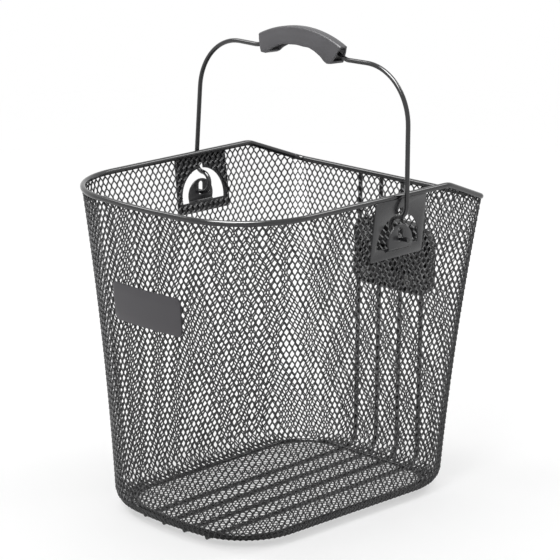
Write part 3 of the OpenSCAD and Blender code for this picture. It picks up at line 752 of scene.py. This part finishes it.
bpy.context.collection.objects.link(other)
other.data.transform(Matrix.Diagonal((-1, 1, 1, 1)))
other.data.flip_normals()
finishPiece(face, "basket", "bracket", plateCoat, "bracket_right")
finishPiece(other, "basket", "bracket", plateCoat, "bracket_left")
print("brackets done")


# label: a bare plate bowed to the front wall
label = {"w": 79.0, "h": 33.0, "thick": 1.6, "z": 198.5, "round": 3.0, "off": 1.75, "edge": 0.35, "steps": 32}
sections = []
for k in range(label["steps"] + 1):
    x = -label["w"] / 2 + label["w"] * k / label["steps"]
    over = max(0.0, abs(x) - (label["w"] / 2 - label["round"]))
    half = label["h"] / 2 - label["round"] + math.sqrt(max(0.0, label["round"] ** 2 - over ** 2))
    sections.append([toFrame(wallAt(wall["half"] - x, upTo(label["z"]) + half * q, label["off"]))
                     for q in (-1, -0.5, 0, 0.5, 1)])
labelPlate = buildGrid("label_sheet", sections)
normalsOut(labelPlate)
addGauge(labelPlate, label["thick"] * mm)
addEdges(labelPlate, label["edge"])
applyAll(labelPlate)
normalsOut(labelPlate)
smoothBy(labelPlate, 40)
finishPiece(labelPlate, "basket", "label", labelFilm, "label_plate")
print("label done")


# adapter, strips and screws keep their frame shape
def keepNode(name, material, width):
    obj = cadNodes[name]
    obj.data.materials.clear()
    obj.data.materials.append(material)
    addEdges(obj, width, 40.0)


keepNode("adapter", adapterPlastic, 0.6)
keepNode("clamp_strip_upper", plateCoat, 0.3)
keepNode("clamp_strip_lower", plateCoat, 0.3)
keepNode("adapter_screws", zincPlate, 0.3)
print("adapter kept")


# stage: pale floor, soft boxes, white seen behind; the top box only adds gleam
stage = {"floor": 8.0, "colour": "#fdfdfd", "fadeFrom": 0.8, "fadeTo": 1.9, "high": 1.0, "low": 0.45,
         "glowFrom": 0.4, "glowTo": 0.65, "lift": 0.5, "aim": (0, 0, 0.15), "gleam": "top"}
bpy.ops.object.select_all(action="DESELECT")
bpy.ops.mesh.primitive_plane_add(size=stage["floor"], location=(0, 0, 0))
ground = bpy.context.object
ground.name = "studio_floor"
paper = bpy.data.materials.new("white paper")
paper.use_nodes = True
tree = paper.node_tree
tree.nodes.clear()
shade = addNode(tree, "ShaderNodeBsdfDiffuse", {"Color": linear(stage["colour"])}, {})
clear = addNode(tree, "ShaderNodeBsdfTransparent", {}, {})
spot = addNode(tree, "ShaderNodeTexCoord", {}, {})
away = addNode(tree, "ShaderNodeVectorMath", {"operation": "LENGTH"}, {0: spot.outputs["Object"]})
fade = addNode(tree, "ShaderNodeMapRange", {"From Min": stage["fadeFrom"], "From Max": stage["fadeTo"]},
               {"Value": away.outputs["Value"]})
white = addNode(tree, "ShaderNodeEmission", {"Color": (1, 1, 1, 1), "Strength": 1.0}, {})
share = addNode(tree, "ShaderNodeMath", {"operation": "MULTIPLY", 1: stage["lift"]}, {0: seenRays(tree)})
paler = addNode(tree, "ShaderNodeMixShader", {}, {0: share.outputs["Value"], 1: shade.outputs["BSDF"],
                                                 2: white.outputs["Emission"]})
sweep = addNode(tree, "ShaderNodeMixShader", {}, {0: fade.outputs["Result"], 1: paler.outputs["Shader"],
                                                 2: clear.outputs["BSDF"]})
addNode(tree, "ShaderNodeOutputMaterial", {}, {"Surface": sweep.outputs["Shader"]})
ground.data.materials.append(paper)

world = bpy.data.worlds.new("studio")
bpy.context.scene.world = world
world.use_nodes = True
tree = world.node_tree
tree.nodes.clear()
seen = addNode(tree, "ShaderNodeBackground", {"Color": (1, 1, 1, 1), "Strength": 1.0}, {})
way = addNode(tree, "ShaderNodeTexCoord", {}, {})
height = addNode(tree, "ShaderNodeSeparateXYZ", {}, {"Vector": way.outputs["Generated"]})
level = addNode(tree, "ShaderNodeMapRange",
                {"From Min": stage["glowFrom"], "From Max": stage["glowTo"], "To Min": stage["low"],
                 "To Max": stage["high"]}, {"Value": height.outputs["Z"]})
glow = addNode(tree, "ShaderNodeBackground", {"Color": (1, 1, 1, 1)}, {"Strength": level.outputs["Result"]})
blend = addNode(tree, "ShaderNodeMixShader", {}, {0: seenRays(tree), 1: glow.outputs["Background"],
                                                 2: seen.outputs["Background"]})
addNode(tree, "ShaderNodeOutputWorld", {}, {"Surface": blend.outputs["Shader"]})

lamps = {"key": ((0.65, -1.5, 1.85), 0.6, 9), "left": ((-1.5, -0.6, 1.75), 0.6, 8),
         "back": ((0.65, 1.5, 1.8), 0.6, 8), "top": ((0.15, -0.5, 1.7), 1.0, 60)}
for name, (spot, size, power) in lamps.items():
    light = bpy.data.lights.new(name + "_box", "AREA")
    light.size = size
    light.energy = power
    lamp = bpy.data.objects.new(name + "_box", light)
    lamp.location = spot
    lamp.rotation_euler = (Vector(stage["aim"]) - Vector(spot)).to_track_quat("-Z", "Y").to_euler()
    lamp.visible_diffuse = name != stage["gleam"]
    bpy.context.collection.objects.link(lamp)

view = {"spot": (1.4873, -1.48317, 0.7648), "way": (-0.6828, 0.6819, -0.2623), "lens": 162.9, "sensor": 36}
lens = bpy.data.cameras.new("camera")
lens.lens = view["lens"]
lens.sensor_width = view["sensor"]
camera = bpy.data.objects.new("camera", lens)
camera.location = view["spot"]
camera.rotation_euler = Vector(view["way"]).to_track_quat("-Z", "Y").to_euler()
bpy.context.collection.objects.link(camera)
bpy.context.scene.camera = camera
bpy.context.scene.view_settings.view_transform = "Standard"
print("stage ready")
